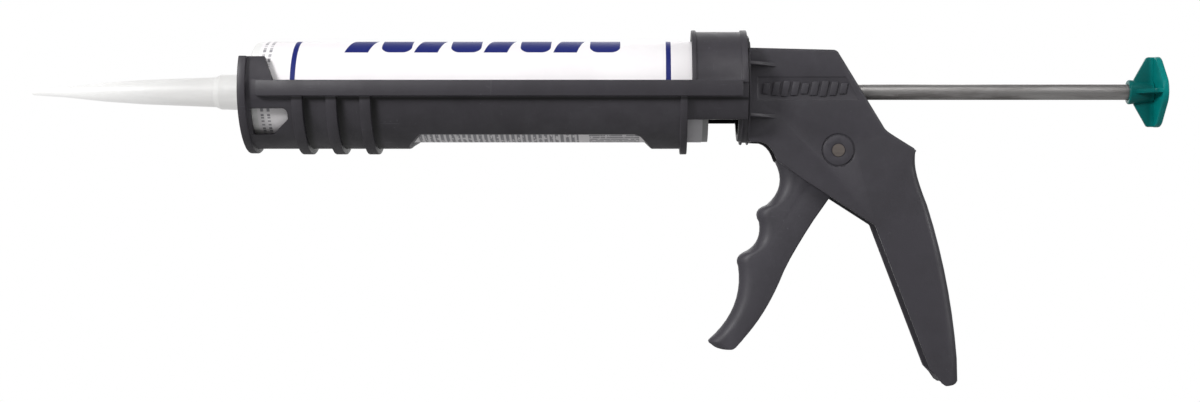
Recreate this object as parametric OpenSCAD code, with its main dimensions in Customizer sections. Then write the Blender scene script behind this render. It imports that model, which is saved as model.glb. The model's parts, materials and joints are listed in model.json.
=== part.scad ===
// Skeleton caulking gun for a standard cartridge.
// The barrel axis is X, with the nozzle's outlet at the origin, the pull knob at +X and +Z up.

/* [Cartridge] */
// Outside diameter of the cartridge with its label
tube_od = 48.6; // [40:0.1:60]
// Length of the cartridge tube
tube_len = 216.6; // [175:1:265]
// Wall of the cartridge tube
tube_wall = 1.2; // [0.8:0.1:2]
// Length of the nozzle from its outlet to its screw collar
nozzle_len = 88.6; // [70:1:110]
// Radius of the nozzle's outlet bore
outlet_r = 1; // [0.8:0.05:1.2]

/* [Cradle] */
// Wall of the half shell
shell_wall = 3; // [2.4:0.1:4]
// Height of the cradle's axis above the rod's, since the cartridge lies low in its bed
bed_rise = 0.8; // [0:0.1:1.2]
// Height of the side rails
rail_h = 7.5; // [5:0.5:9]
// Width of each strengthening rib
rib_w = 5; // [3:0.5:7]

/* [Handle] */
// Width across the handle's side walls
body_w = 25; // [22.5:0.5:30]
// Wall of the handle moulding
body_wall = 2.6; // [2:0.1:3]
// Drop from the trigger pin to the foot of the grip
grip_drop = 112; // [95:1:135]

/* [Trigger] */
// Distance from the trigger pin to the point that pushes the drive plates
lever_arm = 19; // [16:0.5:23]
// Angle through which the trigger is pulled
pull_deg = 34; // [28:1:40]
// Width of the trigger
trigger_w = 16; // [15:0.5:17]
// Diameter of the trigger pin
pin_d = 6; // [5:0.5:7]

/* [Rod] */
// Diameter of the push rod
rod_d = 7.5; // [6.5:0.5:9]
// Length of the push rod
rod_len = 294; // [250:1:320]
// Diameter of the pull knob
knob_d = 34; // [28:1:42]
// Thickness of each drive plate and of the brake plate
plate_t = 2.4; // [2:0.1:3]

/* [Hidden] */

$fn = 96;
eps = 0.01;
far = 400;

// Clearances
run_fit = 0.08;      // radial, between a shaft and the hole it turns or slides in
seat_fit = 0.04;     // radial, between fixed pieces that slip together
move_gap = 0.3;      // between faces that pass each other
touch_gap = 0.1;     // between flat faces that rest on each other

// Cartridge
tube_r = tube_od / 2;
label_t = 0.15;
wall_r = tube_r - label_t - seat_fit;      // outside of the bare tube
bore_r = wall_r - tube_wall;
collar_len = 16.6;
tube_x = nozzle_len + collar_len + 3.9;    // front of the tube
tube_end_x = tube_x + tube_len;
neck_r = 6.5;
neck_bore_r = 4;
end_wall = 2;

// Cradle
bed_r = tube_r + bed_rise + 0.1;           // inside of the half shell
shell_r = bed_r + shell_wall;
rib_r = shell_r + 2.7;
end_plate_r = shell_r + 2.2;
plate_x = nozzle_len + collar_len + 0.1;   // front of the end plate
plate_back_x = tube_x - touch_gap;
rail_top = 3.1;                            // heights on the cradle are above its axis
rail_out = shell_r + 2.9;
rail_x = plate_back_x + 5.1;
horn_z = 14.7;                             // flat top of the end plate
slot_r = 9.8;                              // half width of the nozzle slot
collar_x = tube_end_x - 7.8;
collar_r = shell_r;
collar_rim_r = collar_r + 0.8;
collar_end_x = tube_end_x + 18.6;
collar_low_z = -tube_r * 0.617;            // lower edge of the collar's sides

// Front disc of the handle, which the collar turns on
disc_x = collar_end_x - 3.1;
disc_r = bed_r + 1.2;
lip_r = disc_r - 0.8;                      // inside of the collar's lip
groove_r = lip_r - move_gap;
groove_x = disc_x + 1.1;
groove_end_x = collar_end_x + move_gap;
lip_x = groove_x + move_gap;
spigot_x = disc_x - 1.1;
spigot_r = disc_r - 1.7;
body_x = groove_end_x + 0.8;               // back of the disc and front of the body

// Handle and trigger
rod_r = rod_d / 2;
half_pull = pull_deg / 2;
pin_r = pin_d / 2;
pin_x = body_x + 42.5;
pin_z = -(rod_r + 5.65 + lever_arm);
cavity_w = body_w - 2 * body_wall;
body_top = bed_rise + 19.8;
body_low = bed_rise - disc_r + 1.3;
grip_k = grip_drop / 112;                  // stretches the grip and the trigger
front_wall = 3.2;
boss_r = 7.5;
guide_r = 7.5;
cam_r = 14;                                // rounding of the trigger's pushing face
cam_x = pin_x + lever_arm * sin(half_pull);
cam_z = pin_z + lever_arm * cos(half_pull);

// Drive, brake and rod
drive_gap = 0.2;
drive_x = cam_x - cam_r - drive_gap;       // back of the rear drive plate
drive_w = 15;
drive_h = 26;
drive_low = cam_z - 5;
washer_t = 1;
washer_x = drive_x - 2 * plate_t - 2 * touch_gap - washer_t;
spring_x = body_x + front_wall + touch_gap;
spring_wire = 1.2;
spring_r = rod_r + 1.6;
spring_turns = 7;
brake_x = pin_x + 1.1;                     // back of the brake plate
brake_top = rod_r + 4;
brake_low = -rod_r - 8.4;
brake_w = 12;
brake_hole_r = rod_r + 0.35;
tab_w = 9;
tab_len = 15.5;
tab_drop = 0.3;                            // fall of the thumb tab per length
shelf_z = brake_low - 8;
shelf_x = brake_x + 6;
brake_spring_x = shelf_x + 4;
rod_end_x = body_x + 195;                  // back end of the rod
rod_x = rod_end_x - rod_len;               // front end of the rod
nut_t = 6.5;
nut_r = rod_r * 1.88;
disc_t = 1.6;
pusher_r = bore_r - 2 * bed_rise - move_gap;
pusher_x = rod_x + nut_t + 2.2;            // front of the pusher disc
knob_x = rod_end_x - 11.5;
knob_end_x = rod_end_x + 4;
knob_r = knob_d / 2;

dark = [0.27, 0.26, 0.28];
steel = [0.6, 0.59, 0.58];
zinc = [0.72, 0.72, 0.7];
teal = [0, 0.48, 0.46];

// Points of a curve from p to r that leaves and arrives towards q
function curve(p, q, r, n = 8) =
    [for (i = [0 : n - 1]) let (t = i / n) (1 - t) * (1 - t) * p + 2 * t * (1 - t) * q + t * t * r];

// Points of an arc, with angles counted from +X towards +Z
function arc(centre, r, a0, a1, n = 6) =
    [for (i = [0 : n]) let (a = a0 + (a1 - a0) * i / n) centre + r * [cos(a), sin(a)]];

// A side outline of X and Z points, as thick as w about the middle plane
module slab(points, w)
    rotate([90, 0, 0]) linear_extrude(w, center = true) polygon(points);

// A solid of revolution about X, from points of X and radius
module lathe(points)
    rotate([0, 90, 0]) rotate_extrude() polygon([for (p = points) [p[1], p[0]]]);

module rod_along_x(x0, x1, r) translate([x0, 0, 0]) rotate([0, 90, 0]) cylinder(r = r, h = x1 - x0);

module ring(x0, x1, r_out, r_in)
    lathe([[x0, r_in], [x1, r_in], [x1, r_out], [x0, r_out]]);

// A box given by its low and high corners
module block(low, high) translate(low) cube(high - low);

module pin_along_y(x, z, r, w) translate([x, 0, z]) rotate([90, 0, 0]) cylinder(r = r, h = w, center = true);

// A coil spring that stands on Z, from 0 to h
module coil(r, wire, turns, h, steps = 16, sides = 8) {
    n = turns * steps;
    points = [for (i = [0 : n], j = [0 : sides - 1])
        let (a = 360 * i / steps, b = 360 * j / sides, q = r + wire / 2 * cos(b))
        [q * cos(a), q * sin(a), wire / 2 * (1 + sin(b)) + (h - wire) * i / n]];
    walls = [for (i = [0 : n - 1], j = [0 : sides - 1])
        let (p = i * sides + j, q = i * sides + (j + 1) % sides)
        each [[p, q, q + sides], [p, q + sides, p + sides]]];
    ends = [[for (j = [sides - 1 : -1 : 0]) j], [for (j = [0 : sides - 1]) n * sides + j]];
    polyhedron(points, concat(walls, ends), convexity = 8);
}

// ---- Handle ----

// Height on the handle, stretched below the trigger pin with the grip
function low(z) = pin_z + (z + 29.2) * grip_k;

// Side outline of the handle: top, sloping back, beavertail, grip, foot and front
function handle_outline() = let (x = body_x - 345.1, up = bed_rise) concat(
    [[body_x - eps, body_top]],
    arc([x + 385.2, body_top - 4.1], 3.1, 88, 32),
    [[x + 397.5, up + 1.5], [x + 402.1, up - 6.1], [x + 409.9, up - 18.9]],
    curve([x + 411.4, up - 20.3], [x + 414.6, up - 22.6], [x + 422, up - 27], 4),
    arc([x + 422.5, up - 29.6], 1.9, 50, -10, 3),
    curve([x + 424.8, low(-35.8)], [x + 425.2, low(-42)], [x + 430.6, low(-55.4)], 5),
    curve([x + 430.6, low(-55.4)], [x + 443.5, low(-96)], [x + 445.5, low(-139.5)], 8),
    arc([x + 442.1, low(-138.4)], 3.2, -20, -115, 4),
    [[x + 437.5, low(-140.3)], [x + 435.8, low(-136.9)], [x + 431.3, low(-133.6)],
     [x + 405.2, low(-65.1)], [x + 370.9, low(-43.1)]],
    curve([x + 358.2, low(-34)], [x + 355.6, body_low], [x + 349, body_low], 6),
    [[body_x - eps, body_low]]);

// Side outline of the hollow, open below and along the front of the grip
function cavity_outline() = let (x = body_x - 345.1, b = body_wall * 1.2, up = bed_rise) concat(
    [[body_x + front_wall, body_top - body_wall],
     [x + 385.3, body_top - body_wall - 0.8],
     [x + 397.5 - b, up + 1], [x + 409.9 - b, up - 19.6], [x + 422.2 - b / 2, up - 28.5 - b]],
    curve([x + 424.8 - b, low(-37)], [x + 425.2 - b, low(-43)], [x + 430.6 - b, low(-56)], 4),
    curve([x + 430.6 - b, low(-56)], [x + 443.5 - b, low(-96)], [x + 445.4 - b, low(-137.5)], 6),
    [[x + 445.4 - b, low(-137.5)], [x + 430, low(-137.5)], [x + 420, low(-141)],
     [x + 390, low(-75)], [x + 340, low(-75)], [x + 340, body_low - body_wall],
     [body_x + front_wall, body_low + 1]]);

module handle_body() color(dark) difference() {
    union() {
        difference() {
            slab(handle_outline(), body_w);
            slab(cavity_outline(), cavity_w);
        }
        // grooved disc and spigot that carry the cradle
        translate([0, 0, bed_rise]) lathe([[spigot_x, 0], [spigot_x, spigot_r], [disc_x, spigot_r],
            [disc_x, disc_r], [groove_x, disc_r], [groove_x, groove_r], [groove_end_x, groove_r],
            [groove_end_x, disc_r], [body_x, disc_r], [body_x, 0]]);
        // block that guides the rod at the back
        intersection() {
            slab(handle_outline(), body_w);
            rod_along_x(brake_x + 1.2, brake_x + 20, guide_r);
        }
        // washers moulded inside the walls, which centre the trigger
        for (side = [-1, 1]) translate([0, side * (cavity_w + trigger_w + 2 * move_gap) / 4, 0])
            pin_along_y(pin_x, pin_z, boss_r - 1, (cavity_w - trigger_w) / 2 - move_gap);
        // shelf under the brake spring
        block([shelf_x, -cavity_w / 2 - eps, shelf_z - 1.5], [shelf_x + 8, cavity_w / 2 + eps, shelf_z]);
        // tapered gussets behind the disc
        for (side = [-1, 1], z = [-12.6, 12]) translate([0, 0, bed_rise + z - 0.9]) linear_extrude(1.8)
            polygon([[body_x - eps, side * (body_w / 2 - 1)], [body_x - eps, side * (body_w / 2 + 7.5)],
                     [body_x + 14.6, side * (body_w / 2 - 1)]]);
    }
    rod_along_x(spigot_x - 1, brake_x + 40, rod_r + run_fit);
    pin_along_y(pin_x, pin_z, pin_r + seat_fit, far);
    // ring groove round the pin and shallow side panel, on both faces
    for (side = [-1, 1]) translate([0, side * body_w / 2, 0]) {
        translate([pin_x, 0, pin_z]) rotate([90, 0, 0]) difference() {
            cylinder(r = boss_r + 0.4, h = 0.8, center = true);
            cylinder(r = boss_r - 0.2, h = 1, center = true);
        }
        translate([0, 0, bed_rise])
            slab([[body_x + 4, 5.8], [body_x + 46, 5.8], [body_x + 52.2, -5.4], [body_x + 4, -5.4]], 1.2);
    }
    // way out for the thumb tab
    block([brake_x + 9, -tab_w / 2 - 1.6, brake_low - 9], [brake_x + 40, tab_w / 2 + 1.6, -guide_r - 1.2]);
    // lightening hollow in the front of the disc
    translate([0, 0, bed_rise]) ring(spigot_x - 1, body_x - 1.6, spigot_r - 3.5, guide_r + 1.5);
}

module trigger_pin() color(steel)
    pin_along_y(pin_x, pin_z, pin_r, body_w + 0.6);

module trigger_pin_clip() color(zinc) translate([0, body_w / 2 + 0.4, 0]) difference() {
    pin_along_y(pin_x, pin_z, pin_r + 2.2, 0.6);
    pin_along_y(pin_x, pin_z, pin_r + seat_fit, 2);
}

// ---- Trigger ----

// Front with two finger ridges, tip and back of the lever, closed through the pin
function lever_outline() = let (x = pin_x - 387.6) concat(
    [[x + 376, pin_z + 7.4]],
    curve([x + 358.1, low(-34.3)], [x + 364.4, low(-46.5)], [x + 354.1, low(-55.2)]),
    curve([x + 354.1, low(-55.2)], [x + 346.6, low(-57.6)], [x + 350.4, low(-63.6)], 6),
    curve([x + 350.4, low(-63.6)], [x + 351.8, low(-73.2)], [x + 344.4, low(-77.4)]),
    curve([x + 344.4, low(-77.4)], [x + 337.9, low(-80)], [x + 340.3, low(-84.9)], 6),
    curve([x + 340.3, low(-84.9)], [x + 343.2, low(-105.5)], [x + 326, low(-120.4)], 10),
    curve([x + 326, low(-120.4)], [x + 325.3, low(-121.5)], [x + 327, low(-122.3)], 3),
    curve([x + 327, low(-122.3)], [x + 333, low(-128)], [x + 341.5, low(-120.5)]),
    curve([x + 341.5, low(-120.5)], [x + 353.5, low(-108.5)], [x + 362.1, low(-86.9)]),
    curve([x + 362.1, low(-86.9)], [x + 369, low(-71.8)], [x + 380.4, low(-56.7)], 5),
    [[x + 380.4, low(-56.7)], [x + 384.5, low(-51)],
     [pin_x + 6.6, pin_z - 3.5], [pin_x, pin_z + 7.4]]);

// Arm above the pin, whose rounded face pushes the drive plates
function arm_outline() = concat(
    [[pin_x - 9, pin_z], [cam_x - cam_r + 0.6, cam_z - 6]],
    arc([cam_x, cam_z], cam_r, 180, 180 - pull_deg - 4),
    [[cam_x - cam_r + 5.4, cam_z + 8], [cam_x - cam_r + 4.6, cam_z - 4], [pin_x + 3, pin_z + 6]]);

module trigger() color(dark * 1.15) difference() {
    union() {
        slab(lever_outline(), trigger_w);
        slab(arm_outline(), trigger_w);
        pin_along_y(pin_x, pin_z, boss_r, trigger_w);
    }
    pin_along_y(pin_x, pin_z, pin_r + run_fit, far);
    // fork that straddles the rod
    block([pin_x - 30, -rod_r - 0.8, pin_z + lever_arm + 0.6], [pin_x + 20, rod_r + 0.8, 20]);
}

// ---- Drive ----

module drive_plate(x) color(steel) difference() {
    block([x, -drive_w / 2, drive_low], [x + plate_t, drive_w / 2, drive_low + drive_h]);
    rod_along_x(x - 1, x + plate_t + 1, rod_r + run_fit);
}

module drive_plate_front() drive_plate(drive_x - 2 * plate_t - touch_gap);

module drive_plate_rear() drive_plate(drive_x - plate_t);

module spring_washer() color(zinc) ring(washer_x, washer_x + washer_t, spring_r + 2, rod_r + run_fit);

module return_spring() color(steel) translate([spring_x, 0, 0]) rotate([0, 90, 0])
    coil(spring_r, spring_wire, spring_turns, washer_x - touch_gap - spring_x);

// ---- Brake ----

module brake_plate() color(steel) difference() {
    union() {
        block([brake_x - plate_t, -brake_w / 2, brake_low], [brake_x, brake_w / 2, brake_top]);
        slab([[brake_x - eps, brake_low + plate_t], [brake_x + tab_len, brake_low + plate_t - tab_len * tab_drop],
              [brake_x + tab_len, brake_low - tab_len * tab_drop], [brake_x - eps, brake_low]], tab_w);
    }
    rod_along_x(brake_x - 10, brake_x + 10, brake_hole_r);
}

module brake_spring() color(zinc) translate([brake_spring_x, 0, shelf_z + touch_gap])
    coil(2.6, 0.8, 3, brake_low - (brake_spring_x + 3 - brake_x) * tab_drop - shelf_z - 2 * touch_gap);

// ---- Rod ----

module push_rod() color(steel) rod_along_x(rod_x, rod_end_x, rod_r);

module pusher_disc() color(zinc) lathe([
    [pusher_x, rod_r + seat_fit], [pusher_x, pusher_r - 1.6], [pusher_x + 1.6, pusher_r],
    [pusher_x + 5, pusher_r], [pusher_x + 5, pusher_r - disc_t], [pusher_x + 2.4, pusher_r - disc_t],
    [pusher_x + disc_t, pusher_r - 2.4], [pusher_x + disc_t, rod_r + seat_fit]]);

module pusher_washer() color(steel)
    ring(pusher_x + disc_t + touch_gap / 2, pusher_x + disc_t + 1.6, rod_r * 2.1, rod_r + seat_fit);

module pusher_nut() color(steel) difference() {
    translate([pusher_x - nut_t - touch_gap / 2, 0, 0]) rotate([0, 90, 0]) cylinder(r = nut_r, h = nut_t, $fn = 6);
    rod_along_x(rod_x - 5, rod_x + 20, rod_r + seat_fit);
}

module pull_knob() color(teal) difference() {
    union() {
        lathe([[knob_x, 0], [knob_x, 5.2], [knob_x + 0.8, 6], [knob_x + 12, 6], [knob_x + 12, 0]]);
        // four flared webs
        for (turn = [0, 90]) rotate([turn, 0, 0]) slab([[knob_x + 2.9, -5.9], [knob_x + 2.9, 5.9],
            [knob_x + 9, knob_r - 0.1], [knob_end_x - 1, knob_r - 0.1],
            [knob_end_x - 1, 0.1 - knob_r], [knob_x + 9, 0.1 - knob_r]], 2.4);
        // pull plate, a square with its corners cut off, that stands on one corner
        translate([knob_end_x - 3, 0, 0]) rotate([90, 0, 90]) linear_extrude(3)
            let (k = knob_r, c = knob_r * 0.22) polygon(
                [[k, c], [c, k], [-c, k], [-k, c], [-k, -c], [-c, -k], [c, -k], [k, -c]]);
    }
    rod_along_x(knob_x - 1, rod_end_x + 0.2, rod_r + seat_fit);
}

// ---- Cradle ----

// The lower half shell with its rails and ribs, before the bed is cut out
module cradle_solid() {
    intersection() {
        union() {
            rod_along_x(plate_back_x - eps, collar_end_x, shell_r);
            for (i = [0 : 2]) rod_along_x(rail_x + 16.6 + i * 15.9, rail_x + 16.6 + i * 15.9 + rib_w, rib_r);
            rod_along_x(collar_x - 5.5, collar_x - 2.2, rib_r);
        }
        block([0, -far, -far], [far * 2, far, rail_top - eps]);
    }
    // end plate with a flat top
    intersection() {
        rod_along_x(plate_x, plate_back_x, end_plate_r);
        block([0, -far, -far], [far, far, horn_z]);
    }
    // cheeks behind the end plate
    intersection() {
        rod_along_x(plate_back_x - eps, plate_back_x + 16, shell_r);
        slab([[plate_back_x - 1, 0], [plate_back_x - 1, horn_z], [plate_back_x + 7.8, horn_z],
              [plate_back_x + 12.6, rail_top], [plate_back_x + 15.5, 0]], far);
    }
    for (side = [-1, 1]) scale([1, side, 1])
        block([rail_x, bed_r - 3, rail_top - rail_h], [collar_end_x - 2.8, rail_out, rail_top]);
}

module collar() difference() {
    union() {
        rod_along_x(collar_x, collar_end_x, collar_r);
        rod_along_x(collar_x, collar_x + 2.1, collar_rim_r);
        rod_along_x(collar_end_x - 3, collar_end_x, collar_rim_r);
    }
    block([0, -far, -far], [far * 2, far, rail_top - 1]);
}

module cradle() color(dark) difference() {
    translate([0, 0, bed_rise]) difference() {
        union() {
            cradle_solid();
            collar();
        }
        // bed of the cartridge, then the room for the disc, behind it the lip
        rod_along_x(plate_back_x, disc_x - move_gap, bed_r);
        rod_along_x(disc_x - move_gap - eps, lip_x, disc_r + move_gap);
        rod_along_x(lip_x - eps, collar_end_x + 1, lip_r);
        // window on each side behind the end plate
        slab(concat([[plate_x + 5.2, -9.9]], arc([plate_x + 20, -12.5], 2.6, 90, 0),
            [[plate_x + 22.6, -15], [plate_x + 14.6, -21.8], [plate_x + 5.2, -21.8]]), far);
        // opening in the underside
        slab([[tube_x + 71, -shell_r - 4], [tube_x + 74.2, -shell_r + 1.6], [tube_x + 80, 3.4 - bed_r],
              [tube_x + 181.6, 3.4 - bed_r], [tube_x + 184.4, 2.5 - bed_r], [tube_x + 187.8, -shell_r + 2],
              [tube_x + 193.5, -shell_r - 4]], far);
        // open underside of the collar
        block([collar_x - 2.2, -far, -far], [collar_end_x + 1, far, collar_low_z]);
    }
    // slot that the nozzle drops into
    rod_along_x(plate_x - 1, plate_back_x + 1, slot_r);
    block([plate_x - 1, -slot_r, 0], [plate_back_x + 1, slot_r, horn_z + bed_rise + 1]);
}

// ---- Cartridge ----

module cartridge_tube() color("white") lathe([
    [tube_x - 12, neck_bore_r], [tube_x - 12, neck_r], [tube_x, neck_r], [tube_x, wall_r - 0.8],
    [tube_x + 0.8, wall_r], [tube_end_x, wall_r], [tube_end_x, bore_r], [tube_x + end_wall, bore_r],
    [tube_x + end_wall, neck_bore_r]]);

module cartridge_label() color("ivory")
    ring(tube_x + 4, tube_end_x - 3, tube_r, wall_r + seat_fit);

module cartridge_plunger() color("gainsboro") lathe([
    [tube_x + end_wall + 0.6, 0], [tube_x + end_wall + 0.6, bore_r - 5], [tube_x + end_wall + 3, bore_r - 0.5],
    [tube_x + end_wall + 12, bore_r - 0.15], [tube_x + end_wall + 12, bore_r - 1.9],
    [tube_x + end_wall + 4.6, bore_r - 2.1], [tube_x + end_wall + 3, bore_r - 5.5],
    [tube_x + end_wall + 2.6, 0]]);

module cartridge_nozzle() color([0.93, 0.93, 0.91]) lathe([
    [0, outlet_r], [0, 1.45], [nozzle_len * 0.173, 2.5], [nozzle_len * 0.395, 4.6],
    [nozzle_len * 0.61, 5.9], [nozzle_len, 7.25], [nozzle_len + 2.6, 8.4], [nozzle_len + 5.5, 8.4],
    [nozzle_len + collar_len, 8.9], [nozzle_len + collar_len + 2.9, 8.9],
    [nozzle_len + collar_len + 2.9, neck_r + seat_fit], [tube_x - 12 - 1, neck_r + seat_fit],
    [nozzle_len, neck_bore_r + 1.6], [nozzle_len * 0.395, 3.4], [6, outlet_r]]);

handle_body();
trigger_pin();
trigger_pin_clip();
trigger();
drive_plate_front();
drive_plate_rear();
spring_washer();
return_spring();
brake_plate();
brake_spring();
push_rod();
pusher_disc();
pusher_washer();
pusher_nut();
pull_knob();
cradle();
cartridge_tube();
cartridge_label();
cartridge_plunger();
cartridge_nozzle();
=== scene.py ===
import json
import math

import bmesh
import bpy
from mathutils import Matrix, Vector


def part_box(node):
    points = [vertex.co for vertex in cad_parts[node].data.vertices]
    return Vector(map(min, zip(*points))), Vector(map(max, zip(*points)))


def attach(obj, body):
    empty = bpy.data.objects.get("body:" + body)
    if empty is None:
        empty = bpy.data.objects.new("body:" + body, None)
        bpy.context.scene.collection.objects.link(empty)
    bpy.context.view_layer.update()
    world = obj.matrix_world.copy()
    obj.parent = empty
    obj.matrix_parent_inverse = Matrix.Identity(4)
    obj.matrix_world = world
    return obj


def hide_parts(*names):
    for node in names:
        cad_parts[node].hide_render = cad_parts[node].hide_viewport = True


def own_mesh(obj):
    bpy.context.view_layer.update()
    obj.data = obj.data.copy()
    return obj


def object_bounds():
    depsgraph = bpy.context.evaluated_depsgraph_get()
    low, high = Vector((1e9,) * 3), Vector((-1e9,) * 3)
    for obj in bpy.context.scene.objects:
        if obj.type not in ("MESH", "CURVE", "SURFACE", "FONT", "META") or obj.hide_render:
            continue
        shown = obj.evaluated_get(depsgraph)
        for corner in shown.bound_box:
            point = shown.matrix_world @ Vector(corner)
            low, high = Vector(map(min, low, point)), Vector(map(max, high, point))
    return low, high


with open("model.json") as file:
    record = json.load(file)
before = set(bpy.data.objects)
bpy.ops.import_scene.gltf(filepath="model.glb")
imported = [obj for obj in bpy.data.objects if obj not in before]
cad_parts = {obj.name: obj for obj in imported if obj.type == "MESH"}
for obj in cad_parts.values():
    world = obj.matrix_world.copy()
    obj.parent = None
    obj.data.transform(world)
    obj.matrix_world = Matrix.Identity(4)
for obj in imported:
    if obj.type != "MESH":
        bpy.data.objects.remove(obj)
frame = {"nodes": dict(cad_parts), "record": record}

MM = 0.001
CAD_LOW, CAD_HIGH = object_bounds()


# ---------------------------------------------------------------- node helpers

def node(tree, kind, **settings):
    """A new shader node with its settings filled in."""
    made = tree.nodes.new(kind)
    for key, value in settings.items():
        setattr(made, key, value)
    return made


def feed(tree, value, socket):
    """Links an output to a socket, or sets the socket where the value is plain."""
    if isinstance(value, bpy.types.NodeSocket):
        tree.links.new(value, socket)
    else:
        socket.default_value = value


def tinted(colour, share=1.0):
    """A colour with its alpha, darkened or brightened by a share."""
    return (*(min(1.0, share * part) for part in colour), 1.0)


def calc(tree, operation, *values):
    """One step of arithmetic, on outputs or plain numbers."""
    made = node(tree, "ShaderNodeMath", operation=operation)
    for value, socket in zip(values, made.inputs):
        feed(tree, value, socket)
    return made.outputs[0]


def fade(tree, value, low, high, start=0.0, end=1.0):
    """Turns the span from low to high into start to end, held at both ends."""
    made = node(tree, "ShaderNodeMapRange", interpolation_type="SMOOTHSTEP")
    for number, socket in zip((value, low, high, start, end), made.inputs):
        feed(tree, number, socket)
    return made.outputs[0]


def blend(tree, factor, first, second):
    """A colour between two colours."""
    made = node(tree, "ShaderNodeMix", data_type="RGBA")
    feed(tree, factor, made.inputs["Factor"])
    feed(tree, first, made.inputs[6])
    feed(tree, second, made.inputs[7])
    return made.outputs[2]


def clouds(tree, vector, scale, detail=3.0, rough=0.5, stretch=(1, 1, 1)):
    """Soft noise, drawn out along an axis where stretch is under 1."""
    if stretch != (1, 1, 1):
        mapping = node(tree, "ShaderNodeMapping")
        mapping.inputs["Scale"].default_value = stretch
        feed(tree, vector, mapping.inputs["Vector"])
        vector = mapping.outputs[0]
    made = node(tree, "ShaderNodeTexNoise")
    feed(tree, vector, made.inputs["Vector"])
    feed(tree, scale, made.inputs["Scale"])
    made.inputs["Detail"].default_value = detail
    made.inputs["Roughness"].default_value = rough
    return made.outputs["Fac"]


def place(tree):
    """The place on the object, in metres in the object's own frame."""
    return node(tree, "ShaderNodeTexCoord").outputs["Object"]


def split(tree, vector):
    """The X, Y and Z of a vector."""
    parts = node(tree, "ShaderNodeSeparateXYZ")
    feed(tree, vector, parts.inputs[0])
    return parts.outputs


def both(tree, *masks):
    """The overlap of masks."""
    whole = masks[0]
    for mask in masks[1:]:
        whole = calc(tree, "MULTIPLY", whole, mask)
    return whole


def stripe(tree, value, middle, half):
    """1 where a value lies within half of the middle, with an edge a tenth of a millimetre soft."""
    away = calc(tree, "ABSOLUTE", calc(tree, "SUBTRACT", value, middle))
    return fade(tree, away, half - 0.1 * MM, half + 0.1 * MM, 1.0, 0.0)


# ---------------------------------------------------------------- shared effects

def effect(name, inputs, outputs):
    """An empty node group with named inputs and outputs."""
    group = bpy.data.node_groups.new(name, "ShaderNodeTree")
    for label, kind, value in inputs:
        socket = group.interface.new_socket(label, in_out="INPUT", socket_type=kind)
        if value is not None:
            socket.default_value = value
    for label in outputs:
        group.interface.new_socket(label, in_out="OUTPUT", socket_type="NodeSocketFloat")
    return group, node(group, "NodeGroupInput").outputs, node(group, "NodeGroupOutput").inputs


def moulded_grain():
    """Spark-eroded grain of a plastic moulding: a fine height and a slow mottle."""
    group, given, out = effect(
        "moulded grain",
        [("Vector", "NodeSocketVector", None), ("Grain", "NodeSocketFloat", 2600.0),
         ("Mottle", "NodeSocketFloat", 45.0)],
        ["Height", "Mottle"])
    fine = clouds(group, given["Vector"], given["Grain"], 2.0, 0.6)
    broad = clouds(group, given["Vector"], calc(group, "MULTIPLY", given["Grain"], 0.28), 2.0, 0.5)
    height = calc(group, "ADD", calc(group, "MULTIPLY", fine, 0.65), calc(group, "MULTIPLY", broad, 0.35))
    feed(group, height, out["Height"])
    feed(group, clouds(group, given["Vector"], given["Mottle"], 4.0, 0.6), out["Mottle"])
    return group


def handling_scuffs():
    """Hairline scratches in three directions and rubbed patches, as a mask."""
    group, given, out = effect(
        "handling scuffs",
        [("Vector", "NodeSocketVector", None), ("Scratches", "NodeSocketFloat", 0.5),
         ("Rubbing", "NodeSocketFloat", 0.5)],
        ["Scratches", "Rubbing"])
    lines = 0.0
    for stretch in ((1.0, 0.4, 0.05), (0.06, 0.4, 1.0), (0.6, 0.3, 0.7)):
        streak = clouds(group, given["Vector"], 900.0, 2.0, 0.5, stretch)
        lines = calc(group, "MAXIMUM", fade(group, streak, 0.68, 0.74), lines)
    patches = fade(group, clouds(group, given["Vector"], 38.0, 2.0, 0.5), 0.5, 0.68)
    feed(group, both(group, lines, patches, given["Scratches"]), out["Scratches"])
    smears = fade(group, clouds(group, given["Vector"], 70.0, 5.0, 0.65), 0.5, 0.75)
    feed(group, calc(group, "MULTIPLY", smears, given["Rubbing"]), out["Rubbing"])
    return group


def drawn_lines():
    """Lines that drawing or rolling leaves in steel: a height and a tint."""
    group, given, out = effect(
        "drawn lines",
        [("Vector", "NodeSocketVector", None), ("Fineness", "NodeSocketFloat", 2500.0)],
        ["Height", "Tint"])
    feed(group, clouds(group, given["Vector"], given["Fineness"], 3.0, 0.6, (0.02, 1, 1)), out["Height"])
    feed(group, clouds(group, given["Vector"], 160.0, 4.0, 0.65, (0.15, 1, 1)), out["Tint"])
    return group


GRAIN = moulded_grain()
SCUFFS = handling_scuffs()
LINES = drawn_lines()


def use(tree, group, vector, **values):
    """Places a shared effect in a material with its own values."""
    made = node(tree, "ShaderNodeGroup", node_tree=group)
    feed(tree, vector, made.inputs["Vector"])
    for label, value in values.items():
        made.inputs[label].default_value = value
    return made.outputs


# ---------------------------------------------------------------- materials

def blank(name, **constants):
    """A new material with its shader and the sockets that don't change."""
    material = bpy.data.materials.new(name)
    material.use_nodes = True
    tree = material.node_tree
    shader = tree.nodes["Principled BSDF"]
    for label, value in constants.items():
        shader.inputs[label.replace("_", " ")].default_value = value
    return material, tree, shader


def press(tree, shader, height, depth):
    """Feeds a height from 0 to 1, times a depth in metres, to the shader's normal."""
    bump = node(tree, "ShaderNodeBump")
    bump.inputs["Distance"].default_value = depth
    bump.inputs["Strength"].default_value = 1.0
    feed(tree, height, bump.inputs["Height"])
    feed(tree, bump.outputs[0], shader.inputs["Normal"])


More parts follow.
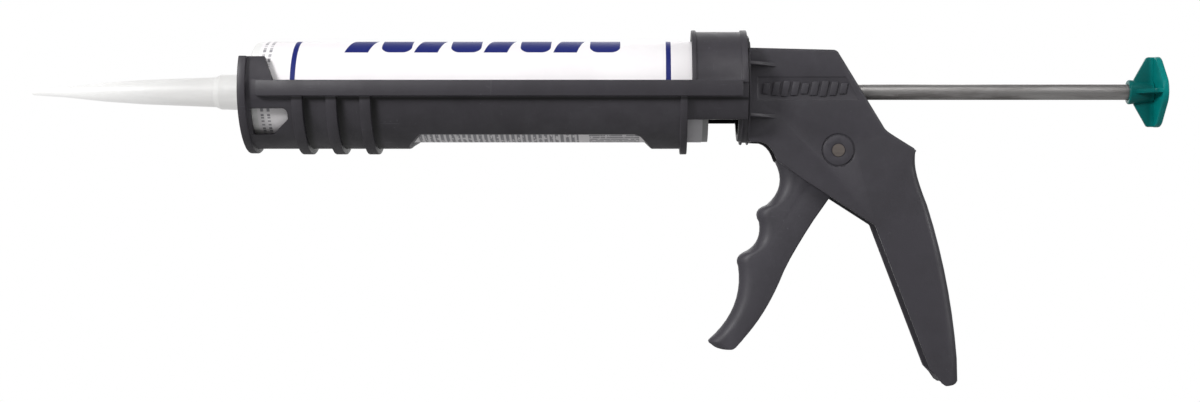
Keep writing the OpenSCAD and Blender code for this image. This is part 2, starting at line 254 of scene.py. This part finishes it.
def moulding(name, colour, rubbed, rough, depth=0.00006, corners=None, **constants):
    """Moulded plastic with grain, mottled gloss, rubbed patches, hairline scratches and, where a mask is
    given, painted shade in its corners.
    """
    material, tree, shader = blank(name, **constants)
    where = place(tree)
    skin = use(tree, GRAIN, where, Grain=2600.0)
    wear = use(tree, SCUFFS, where, Scratches=0.5, Rubbing=0.4)
    base = blend(tree, fade(tree, skin["Mottle"], 0.35, 0.65), tinted(colour, 0.82), tinted(colour))
    base = blend(tree, wear["Rubbing"], base, tinted(rubbed))
    base = blend(tree, wear["Scratches"], base, tinted(rubbed, 1.5))
    # painted shade: the base darkens towards near black where the corners mask is given
    if corners:
        base = blend(tree, corners(tree, where), base, tinted(colour, 0.05))
    feed(tree, base, shader.inputs["Base Color"])
    gloss = fade(tree, skin["Mottle"], 0.3, 0.7, rough + 0.07, rough - 0.05)
    polish = calc(tree, "MULTIPLY", wear["Rubbing"], 0.12)
    feed(tree, calc(tree, "SUBTRACT", gloss, polish), shader.inputs["Roughness"])
    height = calc(tree, "SUBTRACT", skin["Height"], calc(tree, "MULTIPLY", wear["Scratches"], 0.6))
    press(tree, shader, height, depth)
    return material


SHELL_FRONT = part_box("cradle")[0].x + 24.7 * MM
RIB_BACKS = [SHELL_FRONT + (5.7 + 15.9 * i) * MM for i in range(3)]
RAIL_EDGE = -3.6 * MM


def cradle_painted_shade(tree, where):
    """Painted shade in the corners behind the cradle's ribs and under its rails, as a mask."""
    along, _, up = split(tree, where)
    mask = 0.0
    for back in RIB_BACKS:
        behind = fade(tree, along, back - 0.1 * MM, back + 0.1 * MM)
        fading = fade(tree, along, back + 1.2 * MM, back + 4.5 * MM, 1.0, 0.0)
        mask = calc(tree, "MAXIMUM", mask, both(tree, behind, fading))
    under = both(tree, fade(tree, up, RAIL_EDGE - 2.4 * MM, RAIL_EDGE - 0.8 * MM),
                 fade(tree, along, SHELL_FRONT, SHELL_FRONT + 0.2 * MM))
    below = fade(tree, up, RAIL_EDGE - 1.0 * MM, RAIL_EDGE, 1.0, 0.0)
    return both(tree, calc(tree, "MAXIMUM", mask, under), below)


KNOB_LOW, KNOB_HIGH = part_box("pull_knob")
KNOB_PLATE = 3.1 * MM


def knob_painted_shade(tree, where):
    """Painted shade on the hub and webs in front of the knob's plate, as a mask."""
    along, _, _ = split(tree, where)
    plate_front = KNOB_HIGH.x - KNOB_PLATE
    return fade(tree, along, plate_front - 2.8 * MM, plate_front - 0.5 * MM, 0.42, 0.0)


def steel(name, colour, tarnish, rough):
    """Drawn or rolled steel with lines, tarnish and fine scratches."""
    material, tree, shader = blank(name, Metallic=1.0)
    where = place(tree)
    lines = use(tree, LINES, where, Fineness=2500.0)
    wear = use(tree, SCUFFS, where, Scratches=0.8, Rubbing=0.5)
    base = blend(tree, fade(tree, lines["Tint"], 0.4, 0.7), tinted(colour), tinted(tarnish))
    base = blend(tree, wear["Scratches"], base, tinted(colour, 1.5))
    feed(tree, base, shader.inputs["Base Color"])
    gloss = fade(tree, lines["Tint"], 0.35, 0.7, rough, rough + 0.18)
    dulling = calc(tree, "MULTIPLY", wear["Rubbing"], 0.08)
    feed(tree, calc(tree, "ADD", gloss, dulling), shader.inputs["Roughness"])
    press(tree, shader, lines["Height"], 0.00003)
    return material


# painted shade for the bare end of the cartridge tube
PAINTED_SHADE_GREY = (0.21, 0.21, 0.21, 1.0)
# painted glow colours for the nozzle, from its tip to its root
GLOW_AT_TIP = (0.64, 0.64, 0.64, 1.0)
GLOW_AT_ROOT = (0.44, 0.435, 0.43, 1.0)


def waxy(name, colour, shade, translucent, painted_shade_from=None, glow=None):
    """Soft polythene: milky, with faint flow marks.

    It is painted greyer from a given X on, as painted shade on the tube's bare end. Where glow is given, it
    has a painted glow, an emission standing in for light through thin walls, most at the origin and least
    at the X glow.
    """
    material, tree, shader = blank(name, Subsurface_Weight=translucent, Subsurface_Scale=0.004, IOR=1.5)
    shader.inputs["Subsurface Radius"].default_value = (1.0, 0.95, 0.9)
    where = place(tree)
    along, _, _ = split(tree, where)
    skin = use(tree, GRAIN, where, Grain=1400.0, Mottle=60.0)
    flow = clouds(tree, where, 300.0, 3.0, 0.5, (0.12, 1, 1))
    base = blend(tree, fade(tree, flow, 0.4, 0.7), tinted(colour), tinted(shade))
    # painted shade: the tube's bare end turns grey from the X given on
    if painted_shade_from:
        base = blend(tree, fade(tree, along, painted_shade_from, painted_shade_from + 1.0 * MM), base, PAINTED_SHADE_GREY)
    # painted glow: an emission standing in for light through thin walls
    if glow:
        glow_colour = blend(tree, fade(tree, along, 0.0, glow), GLOW_AT_TIP, GLOW_AT_ROOT)
        feed(tree, glow_colour, shader.inputs["Emission Color"])
        shader.inputs["Emission Strength"].default_value = 1.0
    feed(tree, base, shader.inputs["Base Color"])
    feed(tree, fade(tree, skin["Mottle"], 0.3, 0.7, 0.46, 0.35), shader.inputs["Roughness"])
    press(tree, shader, skin["Height"], 0.00003)
    return material


# the label film: X along it, and lengths round it from the tube's near side upwards
LABEL_LOW, LABEL_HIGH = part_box("cartridge_label")
LABEL_R = LABEL_HIGH.z
BANDS = (LABEL_LOW.x + 16.9 * MM, LABEL_HIGH.x - 15.9 * MM)
BAND_HALF = 1.2 * MM
TILE_PITCH = 16.5 * MM
TILES_START = LABEL_LOW.x + 39.9 * MM
TILES_LENGTH = 8 * TILE_PITCH
TILES_AT = 1.22 * LABEL_R
UNDERSIDE = -26.5 * MM
# the middle and half the length of each block of print, and of the painted shade at the film's end
PRINT = (LABEL_LOW.x + 112.4 * MM, 38.5 * MM)
SMALL_PRINT = (LABEL_LOW.x + 167.9 * MM, 12 * MM)
PAINTED_SHADE_END = (LABEL_HIGH.x - 4.1 * MM, 5 * MM)
FRONT_LINES = (LABEL_LOW.x + 2.2 * MM, LABEL_LOW.x + 5.2 * MM)

FILM_WHITES = ((0.77, 0.745, 0.76, 1.0), (0.80, 0.78, 0.79, 1.0))
PRINT_AND_SHADE_GREY = (0.16, 0.16, 0.18, 1.0)
PRINT_BLUE = (0.006, 0.012, 0.13, 1.0)


def tiles(tree, along, round_it):
    """A row of tiles near the top of the label, rounded and leaning by turns, as a mask."""
    step = calc(tree, "DIVIDE", calc(tree, "SUBTRACT", along, TILES_START), TILE_PITCH)
    even = calc(tree, "MODULO", calc(tree, "FLOOR", step), 2.0)
    inside = calc(tree, "MULTIPLY", calc(tree, "SUBTRACT", calc(tree, "FRACT", step), 0.5), TILE_PITCH)
    rise = calc(tree, "SUBTRACT", round_it, TILES_AT)
    # rounded: the distance from a smaller rectangle
    inner_x = calc(tree, "MAXIMUM", calc(tree, "SUBTRACT", calc(tree, "ABSOLUTE", inside), 2.8 * MM), 0.0)
    inner_z = calc(tree, "MAXIMUM", calc(tree, "SUBTRACT", calc(tree, "ABSOLUTE", rise), 5.2 * MM), 0.0)
    square = calc(tree, "ADD", calc(tree, "POWER", inner_x, 2.0), calc(tree, "POWER", inner_z, 2.0))
    upright = fade(tree, calc(tree, "SQRT", square), 4.3 * MM, 4.5 * MM, 1.0, 0.0)
    # leaning: a stripe that moves along as it rises
    slanted = calc(tree, "SUBTRACT", inside, calc(tree, "MULTIPLY", rise, 0.25))
    leaning = both(tree, stripe(tree, slanted, 0.0, 5.6 * MM), stripe(tree, rise, 0.0, 9.7 * MM))
    row = calc(tree, "ADD", both(tree, upright, even),
               both(tree, leaning, calc(tree, "SUBTRACT", 1.0, even)))
    span = stripe(tree, along, TILES_START + TILES_LENGTH / 2, TILES_LENGTH / 2)
    return both(tree, row, span)


def grey_print_and_shade(tree, where, along, round_it):
    """Grey print, rows of short strokes below and two lines at its front, with painted shade at the film's
    end underneath, as a mask.
    """
    grey = 0.0
    dash = fade(tree, clouds(tree, where, 1500.0, 1.0, 0.5, (0.5, 0.2, 0.2)), 0.34, 0.42)
    for runs_over, (middle, half), pitch, fill in ((along, PRINT, 2.6 * MM, 0.18),
                                                   (round_it, SMALL_PRINT, 2.1 * MM, 0.2)):
        lane = calc(tree, "FRACT", calc(tree, "DIVIDE", runs_over, pitch))
        rows = fade(tree, calc(tree, "ABSOLUTE", calc(tree, "SUBTRACT", lane, 0.5)), 0.26, 0.34, 1.0, 0.0)
        ink = calc(tree, "MAXIMUM", both(tree, dash, rows), fill)
        block = both(tree, stripe(tree, along, middle, half), stripe(tree, round_it, UNDERSIDE, 11 * MM))
        grey = calc(tree, "MAXIMUM", both(tree, ink, block), grey)
    # painted shade: a grey end to the film underneath, where the collar shades it
    painted_shade_end = both(tree, stripe(tree, along, *PAINTED_SHADE_END), stripe(tree, round_it, -30 * MM, 15 * MM))
    grey = calc(tree, "MAXIMUM", calc(tree, "MULTIPLY", 0.75, painted_shade_end), grey)
    dash = fade(tree, clouds(tree, where, 1500.0, 1.0, 0.5, (0.01, 0.8, 0.8)), 0.46, 0.5)
    for middle in FRONT_LINES:
        grey = calc(tree, "MAXIMUM", both(tree, dash, stripe(tree, along, middle, 0.7 * MM)), grey)
    return grey


def printed_film():
    """White label film, printed with dark blue bands and tiles and rows of small grey strokes, with painted
    shade at its end underneath.
    """
    material, tree, shader = blank("label film", Specular_IOR_Level=0.25)
    where = place(tree)
    along, across, up = split(tree, where)
    turn = calc(tree, "ARCTAN2", up, calc(tree, "MULTIPLY", across, -1.0))
    round_it = calc(tree, "MULTIPLY", turn, LABEL_R)
    bands = calc(tree, "MAXIMUM", *(stripe(tree, along, band, BAND_HALF) for band in BANDS))
    blue = calc(tree, "MAXIMUM", bands, tiles(tree, along, round_it))
    grey = grey_print_and_shade(tree, where, along, round_it)

    skin = use(tree, GRAIN, where, Grain=900.0, Mottle=30.0)
    base = blend(tree, fade(tree, skin["Mottle"], 0.35, 0.65), *FILM_WHITES)
    # grey print, and painted shade at the film's end underneath
    base = blend(tree, calc(tree, "MULTIPLY", grey, 0.8), base, PRINT_AND_SHADE_GREY)
    base = blend(tree, blue, base, PRINT_BLUE)
    feed(tree, base, shader.inputs["Base Color"])
    gloss = fade(tree, skin["Mottle"], 0.3, 0.7, 0.5, 0.42)
    feed(tree, calc(tree, "ADD", gloss, calc(tree, "MULTIPLY", blue, 0.06)), shader.inputs["Roughness"])
    press(tree, shader, skin["Height"], 0.00001)
    return material


PLASTIC = {"Specular_IOR_Level": 0.38}
BODY_BLACK = moulding("handle plastic", (0.043, 0.040, 0.048), (0.053, 0.050, 0.059), 0.5, **PLASTIC)
CRADLE_BLACK = moulding("cradle plastic", (0.038, 0.035, 0.042), (0.048, 0.045, 0.053), 0.5,
                        corners=cradle_painted_shade, **PLASTIC)
TRIGGER_BLACK = moulding("trigger plastic", (0.048, 0.045, 0.054), (0.060, 0.057, 0.067), 0.54, **PLASTIC)
TEAL = moulding("knob plastic", (0.0, 0.19, 0.181), (0.0, 0.22, 0.208), 0.36, depth=0.00004,
                corners=knob_painted_shade, Specular_IOR_Level=0.15)
ROD_STEEL = steel("drawn rod steel", (0.35, 0.34, 0.335), (0.21, 0.2, 0.195), 0.45)
PIN_STEEL = steel("pin steel", (0.24, 0.21, 0.19), (0.15, 0.13, 0.12), 0.42)
PLATE_STEEL = steel("oiled plate steel", (0.42, 0.41, 0.40), (0.28, 0.27, 0.26), 0.36)
ZINC = steel("zinc plate", (0.66, 0.66, 0.63), (0.5, 0.5, 0.46), 0.33)
SPRING_STEEL = steel("spring wire", (0.5, 0.49, 0.48), (0.35, 0.34, 0.33), 0.28)
# the tube's bare end is painted grey, as painted shade
TUBE_WHITE = waxy("cartridge polythene", (0.74, 0.74, 0.73), (0.68, 0.68, 0.67), 0.1,
                  painted_shade_from=LABEL_HIGH.x - 0.5 * MM)
# the nozzle has a painted glow, an emission for light through its thin walls
NOZZLE_WHITE = waxy("nozzle polythene", (0.28, 0.28, 0.276), (0.25, 0.25, 0.246), 0.3, glow=90 * MM)
PLUNGER_WHITE = waxy("plunger polythene", (0.70, 0.70, 0.68), (0.62, 0.62, 0.60), 0.3)
LABEL = printed_film()

FINISHES = {
    "handle_body": BODY_BLACK, "trigger_pin": PIN_STEEL, "trigger_pin_clip": ZINC, "trigger": TRIGGER_BLACK,
    "drive_plate_front": PLATE_STEEL, "drive_plate_rear": PLATE_STEEL, "spring_washer": ZINC,
    "return_spring": SPRING_STEEL, "brake_plate": PLATE_STEEL, "brake_spring": SPRING_STEEL,
    "push_rod": ROD_STEEL, "pusher_disc": ZINC, "pusher_washer": ZINC, "pusher_nut": ZINC,
    "pull_knob": TEAL, "cradle": CRADLE_BLACK, "cartridge_tube": TUBE_WHITE, "cartridge_label": LABEL,
    "cartridge_plunger": PLUNGER_WHITE, "cartridge_nozzle": NOZZLE_WHITE,
}
BODY_OF = {name: body for body, names in frame["record"]["behaviour"]["bodies"].items() for name in names}


def finish_node(name):
    """Gives a CAD node that is shown as it is its material."""
    shown = frame["nodes"][name]
    shown.data.materials.clear()
    shown.data.materials.append(FINISHES[name])


# ---------------------------------------------------------------- pieces

def keep(mesh_data, name, body, material, sharp=40):
    """Makes a bmesh an object, smooth but for its sharp edges, that rides on a body."""
    mesh = bpy.data.meshes.new(name)
    mesh_data.to_mesh(mesh)
    mesh_data.free()
    mesh.shade_smooth()
    mesh.set_sharp_from_angle(angle=math.radians(sharp))
    mesh.materials.append(material)
    piece = bpy.data.objects.new(name, mesh)
    bpy.context.scene.collection.objects.link(piece)
    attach(piece, body)
    return piece


def solid_copy(name):
    """A copy of a CAD node with its loose triangles joined and flat faces made whole."""
    made = bmesh.new()
    made.from_mesh(frame["nodes"][name].data)
    bmesh.ops.remove_doubles(made, verts=made.verts, dist=0.002 * MM)
    bmesh.ops.dissolve_limit(made, angle_limit=math.radians(0.6), verts=made.verts, edges=made.edges)
    return made


def bevel(made, edges, radius, segments, clamp=True):
    """Rounds the edges given."""
    bmesh.ops.bevel(made, geom=list(edges), offset=radius, offset_type="OFFSET", segments=segments,
                    profile=0.5, affect="EDGES", material=-1, clamp_overlap=clamp)


def soften(made, radius, segments=2, angle=32, where=lambda middle: True):
    """Rounds the sharp edges of a bmesh, or those whose middle passes where."""
    sharp = [edge for edge in made.edges if len(edge.link_faces) == 2
             and edge.calc_face_angle() > math.radians(angle)
             and where((edge.verts[0].co + edge.verts[1].co) / 2)]
    bevel(made, sharp, radius, segments, clamp=False)


def rounded(name, radius):
    """Stands for a CAD node with the same solid, its edges rounded."""
    made = solid_copy(name)
    soften(made, radius)
    bmesh.ops.recalc_face_normals(made, faces=made.faces)
    piece = keep(made, name + "_moulded", BODY_OF[name], FINISHES[name])
    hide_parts(name)
    return piece


def crown(made, faces, half, reach, draw):
    """Rounds faces across their width: cuts them lengthways, and draws the cuts back by draw at the rim."""
    angles = [math.radians(turn) for turn in (12, 25, 38, 50, 62, 74)]
    for level in [half - reach * (1 - math.sin(turn)) for turn in angles]:
        for side in (-1, 1):
            parts = set(faces) | {e for f in faces for e in f.edges} | {v for f in faces for v in f.verts}
            cut = bmesh.ops.bisect_plane(made, geom=list(parts), dist=0.001 * MM,
                                         plane_co=(0, side * level, 0), plane_no=(0, 1, 0))
            faces = [part for part in cut["geom"] if isinstance(part, bmesh.types.BMFace)]
    for vert in {v for f in faces for v in f.verts}:
        sine = held((abs(vert.co.y) - half + reach) / reach)
        vert.co.x += draw(vert.co) * (1 - math.sqrt(1 - sine * sine))


def along_line(points, z):
    """X on a line of X and Z points at height z, in millimetres, with the points from high to low."""
    for (x0, z0), (x1, z1) in zip(points, points[1:]):
        if z >= z1:
            return x0 + (x1 - x0) * (z0 - z) / (z0 - z1)
    return points[-1][0]


def held(value):
    """A value held between 0 and 1."""
    return min(1.0, max(0.0, value))


def smooth(value):
    """A value held between 0 and 1, with a soft start and end."""
    value = held(value)
    return value * value * (3 - 2 * value)


def trigger():
    """The trigger, its finger side rounded across its whole width."""
    made = solid_copy("trigger")
    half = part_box("trigger")[1].y
    back_line = [(388, -44), (380.4, -56), (362, -86), (352.5, -106), (341.5, -121), (341.5, -130)]

    def front(spot):
        """1 on the finger side, 0 on the back, and 0 again inside the handle."""
        x, z = spot.x / MM, spot.z / MM
        return held((along_line(back_line, z) - x) / 14) * smooth((-31 - z) / 9)

    faces = [f for f in made.faces if abs(f.normal.y) < 0.1 and front(f.calc_center_median()) > 0.02
             and max(abs(v.co.y) for v in f.verts) > half - 0.01 * MM]
    crown(made, faces, half, half, lambda spot: 6.5 * MM * front(spot))
    soften(made, 0.8 * MM, 2, 38, lambda spot: spot.z > -118 * MM and front(spot) < 0.05)
    piece = keep(made, "trigger_lever", "trigger", TRIGGER_BLACK, 30)
    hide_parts("trigger")


def handle():
    """The handle, with the back of its grip crowned and its other edges softened."""
    made = solid_copy("handle_body")
    half = 12.5 * MM
    front_line = [(384, -30), (405, -64.5), (431.4, -133), (437, -140)]

    def back(spot):
        """1 on the back of the grip, 0 on its front, and 0 again above the grip."""
        x, z = spot.x / MM, spot.z / MM
        return held((x - along_line(front_line, z)) / 9) * smooth((-29.8 - z) / 2)

    faces = [f for f in made.faces if abs(f.normal.y) < 0.1 and back(f.calc_center_median()) > 0.02
             and max(v.co.y for v in f.verts) > half - 0.01 * MM
             and min(v.co.y for v in f.verts) < 0.01 * MM - half]
    crown(made, faces, half, 5.5 * MM, lambda spot: -back(spot) * (3.4 + 0.02 * (-30 - spot.z / MM)) * MM)

    def upper(spot):
        """On the outer edges over the top and down the sloping back."""
        return abs(spot.y) > half - 0.02 * MM and (
            spot.z > 18 * MM or (spot.z > -30 * MM and spot.x > (397.2 - 0.63 * (spot.z / MM - 2)) * MM))

    soften(made, 1.3 * MM, 3, 15, upper)
    soften(made, 0.4 * MM, 2, 34, lambda spot: spot.z > -131 * MM)
    piece = keep(made, "handle_moulded", "handle", BODY_BLACK, 30)
    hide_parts("handle_body")


BAR_HEIGHTS = [tall * MM for tall in (5.2, 6.6, 7.4, 6.6, 5.2, 6.6, 7.4, 6.6, 5.2)]
FIRST_BAR = 353.5 * MM
BAR_PITCH = 4.6 * MM
BAR_LEAN = 0.22


def panel_bars():
    """Raised bars in the long panel on both sides of the handle."""
    made = bmesh.new()
    for side in (-1, 1):
        for i, tall in enumerate(BAR_HEIGHTS):
            bar = bmesh.ops.create_cube(made, size=1.0)["verts"]
            bmesh.ops.scale(made, verts=bar, vec=(3.2 * MM, 0.9 * MM, tall))
            bmesh.ops.translate(made, verts=bar, vec=(0, side * 12.15 * MM, 0))
            for vert in bar:
                vert.co.x += vert.co.z * BAR_LEAN + FIRST_BAR + BAR_PITCH * i
                vert.co.z += 1.0 * MM
            bevel(made, edges_of(bar), 0.38 * MM, 2)
    keep(made, "handle_panel_bars", "handle", BODY_BLACK, 30)


def edges_of(verts):
    """All edges at some vertices."""
    return {e for v in verts for e in v.link_edges}


def length_x(edge):
    """How far an edge runs along X."""
    return abs(edge.verts[0].co.x - edge.verts[1].co.x)


def bar_between(made, points, width):
    """A flat bar on the middle plane, from its side outline, centred across Y."""
    face = made.faces.new([made.verts.new((x, -width / 2, z)) for x, z in points])
    grown = bmesh.ops.extrude_face_region(made, geom=[face])
    verts = [part for part in grown["geom"] if isinstance(part, bmesh.types.BMVert)]
    bmesh.ops.translate(made, verts=verts, vec=(0, width, 0))


def knob():
    """The pull knob: a hub, four flared webs and a square plate with its corners cut off."""
    low, high = KNOB_LOW, KNOB_HIGH
    radius = high.z
    made = bmesh.new()
    # hub
    upright = Matrix.Translation((low.x + 6 * MM, 0, 0)) @ Matrix.Rotation(math.radians(90), 4, "Y")
    bmesh.ops.create_cone(made, cap_ends=True, segments=48, radius1=6 * MM, radius2=4.7 * MM, depth=12 * MM,
                          matrix=upright)
    rim = [e for e in made.edges if length_x(e) < 0.01 * MM and e.verts[0].co.x < low.x + MM]
    bevel(made, rim, 0.8 * MM, 3)
    # recess round the rod at the front of the hub
    front = min(made.faces, key=lambda f: f.calc_center_median().x)
    bmesh.ops.inset_region(made, faces=[front], thickness=1.15 * MM, depth=0.0, use_even_offset=True)
    bmesh.ops.inset_region(made, faces=[front], thickness=0.15 * MM, depth=-0.7 * MM, use_even_offset=True)
    # webs: their upper outline from the hub to the plate, and the same mirrored below
    upper = [(low.x + 2.9 * MM, 5.9 * MM), (low.x + 8.9 * MM, radius - 0.5 * MM),
             (low.x + 9.7 * MM, radius - 0.15 * MM), (high.x - MM, radius - 0.15 * MM)]
    lower = [(x, -z) for x, z in upper]
    for turn in (0, 90):
        before = set(made.verts)
        bar_between(made, lower[:1] + upper + lower[:0:-1], 2.0 * MM)
        fresh = [v for v in made.verts if v not in before]
        quarter = Matrix.Rotation(math.radians(turn), 3, "X")
        bmesh.ops.rotate(made, verts=fresh, cent=(0, 0, 0), matrix=quarter)
        bevel(made, edges_of(fresh), 0.35 * MM, 2)
    # plate, its corners and its rims rounded
    before = set(made.verts)
    cut = 0.22 * radius
    corners = [(radius, cut), (cut, radius), (-cut, radius), (-radius, cut),
               (-radius, -cut), (-cut, -radius), (cut, -radius), (radius, -cut)]
    face = made.faces.new([made.verts.new((high.x - KNOB_PLATE, y, z)) for y, z in corners])
    grown = bmesh.ops.extrude_face_region(made, geom=[face])
    back = [part for part in grown["geom"] if isinstance(part, bmesh.types.BMVert)]
    bmesh.ops.translate(made, verts=back, vec=(KNOB_PLATE, 0, 0))
    fresh = [v for v in made.verts if v not in before]
    bevel(made, [e for e in edges_of(fresh) if length_x(e) > 2 * MM], 3.0 * MM, 4)
    fresh = [v for v in made.verts if v not in before]
    bevel(made, [e for e in edges_of(fresh) if length_x(e) < 0.01 * MM], 0.8 * MM, 3)
    bmesh.ops.recalc_face_normals(made, faces=made.faces)
    piece = keep(made, "pull_knob_moulded", "rod", TEAL, 30)
    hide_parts("pull_knob")


def squeezed_spring(name, body, material):
    """A spring stood in for by a smoothed copy of its CAD node, with a mesh of its own."""
    made = solid_copy(name)
    piece = keep(made, name + "_wire", body, material, 60)
    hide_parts(name)
    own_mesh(piece)


for plain in FINISHES:
    finish_node(plain)
handle()
panel_bars()
trigger()
knob()
rounded("cradle", 0.35 * MM)
squeezed_spring("return_spring", "drive",
                SPRING_STEEL)
squeezed_spring("brake_spring", "handle",
                SPRING_STEEL)


# ---------------------------------------------------------------- room, light and camera

def softbox(name, at, towards, size, watts):
    """A soft square light."""
    data = bpy.data.lights.new(name, "AREA")
    data.size = size
    data.energy = watts
    lamp = bpy.data.objects.new(name, data)
    lamp.location = at
    lamp.rotation_euler = (Vector(towards) - Vector(at)).to_track_quat("-Z", "Y").to_euler()
    bpy.context.scene.collection.objects.link(lamp)


ROOM_LIGHT = 0.27
FLOOR_GLOW = 0.62
# from the middle of the gun in metres, then the size in metres and the watts
LIGHTS = {
    "key": ((-1.0, -0.9, 0.65), 0.35, 20),
    "top": ((0.15, -0.8, 1.0), 0.6, 4),
    "side": ((1.2, -0.5, 0.35), 0.5, 6),
    "rim": ((0.1, 1.0, 0.75), 0.8, 3),
    "back": ((0.1, 1.2, 0.3), 1.2, 6),
}


def room():
    """A pale floor well below the gun, in a white room."""
    floor = bpy.data.meshes.new("floor")
    made = bmesh.new()
    bmesh.ops.create_grid(made, x_segments=1, y_segments=1, size=2.6)
    bmesh.ops.translate(made, verts=made.verts, vec=(0.3, 0, CAD_LOW.z - 0.5))
    made.to_mesh(floor)
    made.free()
    material, tree, shader = blank("pale floor", Roughness=0.9)
    shader.inputs["Base Color"].default_value = (0.45, 0.45, 0.45, 1)
    shader.inputs["Emission Color"].default_value = (1, 1, 1, 1)
    seen = node(tree, "ShaderNodeLightPath").outputs["Is Camera Ray"]
    feed(tree, fade(tree, seen, 0.0, 1.0, 0.0, FLOOR_GLOW), shader.inputs["Emission Strength"])
    floor.materials.append(material)
    piece = bpy.data.objects.new("floor", floor)
    bpy.context.scene.collection.objects.link(piece)
    world = bpy.data.worlds.new("white room")
    world.use_nodes = True
    sky = world.node_tree
    sky.nodes["Background"].inputs["Color"].default_value = (1, 1, 1, 1)
    seen = node(sky, "ShaderNodeLightPath").outputs["Is Camera Ray"]
    feed(sky, fade(sky, seen, 0.0, 1.0, ROOM_LIGHT, 1.0), sky.nodes["Background"].inputs["Strength"])
    bpy.context.scene.world = world
    bpy.context.scene.view_settings.view_transform = "Standard"


def camera():
    """A level view square to the barrel, from the side that the trigger hand sees."""
    data = bpy.data.cameras.new("camera")
    data.sensor_width = 36
    data.lens = 52.5
    data.shift_x = -0.039
    eye = bpy.data.objects.new("camera", data)
    eye.location = (0.2966, -0.846, -0.0526)
    eye.rotation_euler = (math.radians(90), 0, 0)
    bpy.context.scene.collection.objects.link(eye)
    bpy.context.scene.camera = eye


room()
camera()
middle = (CAD_LOW + CAD_HIGH) / 2
for name, (away, size, watts) in LIGHTS.items():
    softbox(name, middle + Vector(away), middle, size, watts)
